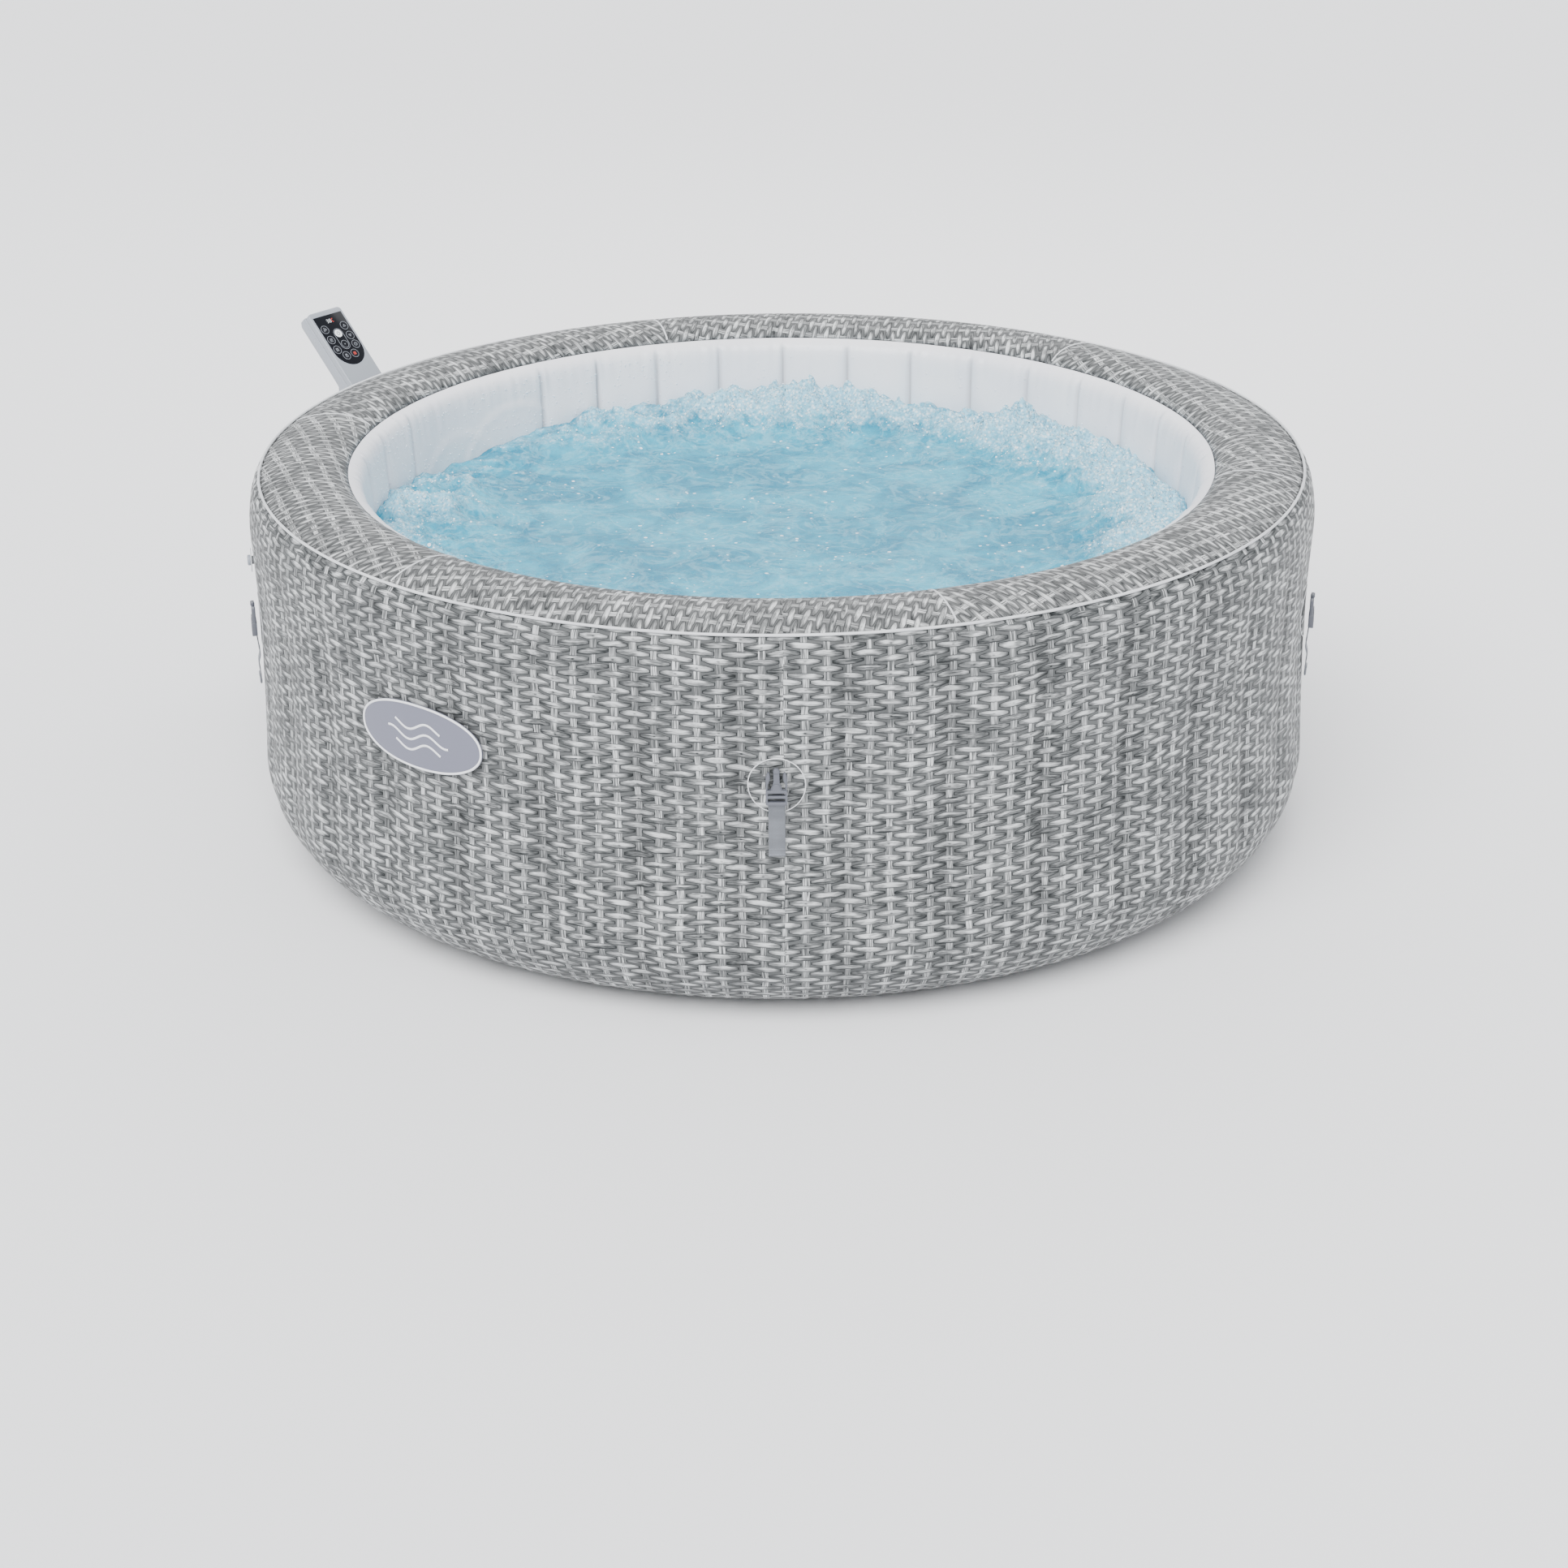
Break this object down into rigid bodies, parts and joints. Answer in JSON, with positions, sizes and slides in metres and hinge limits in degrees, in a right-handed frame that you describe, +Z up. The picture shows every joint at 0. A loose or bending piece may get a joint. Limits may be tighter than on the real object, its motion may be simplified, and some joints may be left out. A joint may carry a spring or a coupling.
{
  "type": "inflatable hot tub",
  "caption": "Round inflatable hot tub with woven-look vinyl walls, white liner, cover buckles, and a hidden pump and heater unit with a swivelling control head on a leaning arm.",
  "frame": {"origin": "on the tub's vertical axis, on the ground plane, at the underside of the base sheet", "axes": "+Z up; -Y is the front, where the front buckle is; the pump stands behind on the -X +Y side"},
  "size_m": [1.8844, 1.8109, 0.706],
  "materials": {
    "woven_wall_print": "printed woven-look vinyl, satin",
    "woven_rim_print": "printed woven-look vinyl, satin",
    "white_liner": "soft satin vinyl",
    "base_vinyl": "plain grey vinyl",
    "inner_vinyl": "plain vinyl",
    "piping": "satin vinyl bead",
    "badge_silver": "silvered soft plastic",
    "buckle_plastic": "moulded plastic",
    "webbing": "woven polyester webbing",
    "fitting_grey": "moulded plastic",
    "cap_grey": "moulded plastic",
    "gasket_rubber": "moulded rubber",
    "nut_black": "moulded plastic",
    "pump_silver": "satin silver-grey moulding",
    "pump_black": "textured moulding",
    "cartridge": "pleated filter paper with moulded end caps",
    "dial_dark": "satin moulding",
    "motor_can": "coated steel",
    "heater_steel": "drawn steel",
    "rotor_plastic": "moulded plastic",
    "circuit_board": "coated board",
    "touch_panel": "polished black panel"
  },
  "bodies": {
    "tub": {"air_channel": "white_liner", "air_duct": "inner_vinyl", "air_gasket": "gasket_rubber", "air_sleeve": "fitting_grey", "air_stub": "pump_black", "badge_plate": "badge_silver", "base_sheet": "base_vinyl", "blower_housing": "pump_black", "blower_motor": "motor_can", "control_board": "circuit_board", "cord_gland": "gasket_rubber", "dispenser_body": "fitting_grey", "drain_valve": "fitting_grey", "filter_cartridge": "cartridge", "filter_housing": "fitting_grey", "floor_sheet": "white_liner", "heater_feed_pipe": "fitting_grey", "heater_tube": "heater_steel", "heating_element": "heater_steel", "housing_front": "pump_silver", "housing_rear": "pump_silver", "inflation_valve": "fitting_grey", "inner_wall": "white_liner", "intake_grille": "pump_black", "outer_wall": "woven_wall_print", "pump_base": "pump_black", "pump_motor": "motor_can", "pump_volute": "pump_black", "return_gasket": "gasket_rubber", "return_sleeve": "fitting_grey", "return_stub": "pump_black", "rim_piping": "piping", "strap_back": "webbing", "strap_front": "webbing", "strap_left": "webbing", "strap_right": "webbing", "suction_gasket": "gasket_rubber", "suction_sleeve": "fitting_grey", "suction_stub": "pump_black", "tension_webs": "inner_vinyl", "top_cover": "pump_silver", "top_panel": "woven_rim_print"},
    "control_head": {"swivel_neck": "pump_black", "head_front_shell": "pump_silver", "head_rear_shell": "pump_silver", "touch_panel": "touch_panel", "display_board": "circuit_board"},
    "front_buckle": {"buckle_front": "buckle_plastic"},
    "right_buckle": {"buckle_right": "buckle_plastic"},
    "back_buckle": {"buckle_back": "buckle_plastic"},
    "left_buckle": {"buckle_left": "buckle_plastic"},
    "suction_union_nut": {"suction_nut": "nut_black"},
    "return_union_nut": {"return_nut": "nut_black"},
    "air_union_nut": {"air_nut": "nut_black"},
    "filter_cap_body": {"filter_cap": "fitting_grey"},
    "dispenser_dial_body": {"dispenser_dial": "dial_dark"},
    "inflation_cap_body": {"inflation_cap": "cap_grey"},
    "drain_cap_body": {"drain_cap": "cap_grey"},
    "pump_impeller": {"impeller": "rotor_plastic"},
    "air_fan": {"blower_fan": "rotor_plastic"}
  },
  "joints": [
    {"name": "head_swivel", "type": "hinge", "parent": "tub", "child": "control_head", "pos_m": [-0.78324, 0.62974, 0.435], "axis": [0, 0, 1], "range_deg": [0, 180]},
    {"name": "front_buckle_swing", "type": "hinge", "parent": "tub", "child": "front_buckle", "pos_m": [-0.01101, -0.90082, 0.3875], "axis": [0.9999, -0.0122, 0], "range_deg": [0, 100]},
    {"name": "right_buckle_swing", "type": "hinge", "parent": "tub", "child": "right_buckle", "pos_m": [0.88433, -0.1719, 0.3875], "axis": [0.1908, 0.9816, 0], "range_deg": [0, 100]},
    {"name": "back_buckle_swing", "type": "hinge", "parent": "tub", "child": "back_buckle", "pos_m": [0, 0.90089, 0.3875], "axis": [-1, 0, 0], "range_deg": [0, 100]},
    {"name": "left_buckle_swing", "type": "hinge", "parent": "tub", "child": "left_buckle", "pos_m": [-0.88433, -0.1719, 0.3875], "axis": [0.1908, -0.9816, 0], "range_deg": [0, 100]},
    {"name": "suction_nut_turn", "type": "hinge", "parent": "tub", "child": "suction_union_nut", "pos_m": [-0.65909, 0.62615, 0.13], "axis": [-0.7793, 0.6266, 0], "range_deg": [0, 540]},
    {"name": "return_nut_turn", "type": "hinge", "parent": "tub", "child": "return_union_nut", "pos_m": [-0.75308, 0.50925, 0.13], "axis": [-0.7793, 0.6266, 0], "range_deg": [0, 540]},
    {"name": "air_nut_turn", "type": "hinge", "parent": "tub", "child": "air_union_nut", "pos_m": [-0.70608, 0.5677, 0.3], "axis": [-0.7793, 0.6266, 0], "range_deg": [0, 540]},
    {"name": "filter_cap_turn", "type": "hinge", "parent": "tub", "child": "filter_cap_body", "pos_m": [-0.41689, 0.43142, 0.13], "axis": [0.7793, -0.6266, 0], "range_deg": [0, 40]},
    {"name": "dispenser_dial_turn", "type": "hinge", "parent": "tub", "child": "dispenser_dial_body", "pos_m": [-0.54455, 0.34159, 0.13], "axis": [0.7793, -0.6266, 0], "range_deg": [0, 90]},
    {"name": "inflation_cap_turn", "type": "hinge", "parent": "tub", "child": "inflation_cap_body", "pos_m": [-0.88597, -0.14985, 0.506], "axis": [-0.986, -0.1668, 0], "range_deg": [0, 360]},
    {"name": "drain_cap_turn", "type": "hinge", "parent": "tub", "child": "drain_cap_body", "pos_m": [-0.21905, 0.85937, 0.062], "axis": [-0.247, 0.969, 0], "range_deg": [0, 360]},
    {"name": "impeller_spin", "type": "hinge", "parent": "tub", "child": "pump_impeller", "pos_m": [-0.76941, 0.71486, 0.13], "axis": [-0.7793, 0.6266, 0], "continuous": true},
    {"name": "fan_spin", "type": "hinge", "parent": "tub", "child": "air_fan", "pos_m": [-0.81196, 0.69774, 0.3], "axis": [0, 0, 1], "continuous": true}
  ]
}
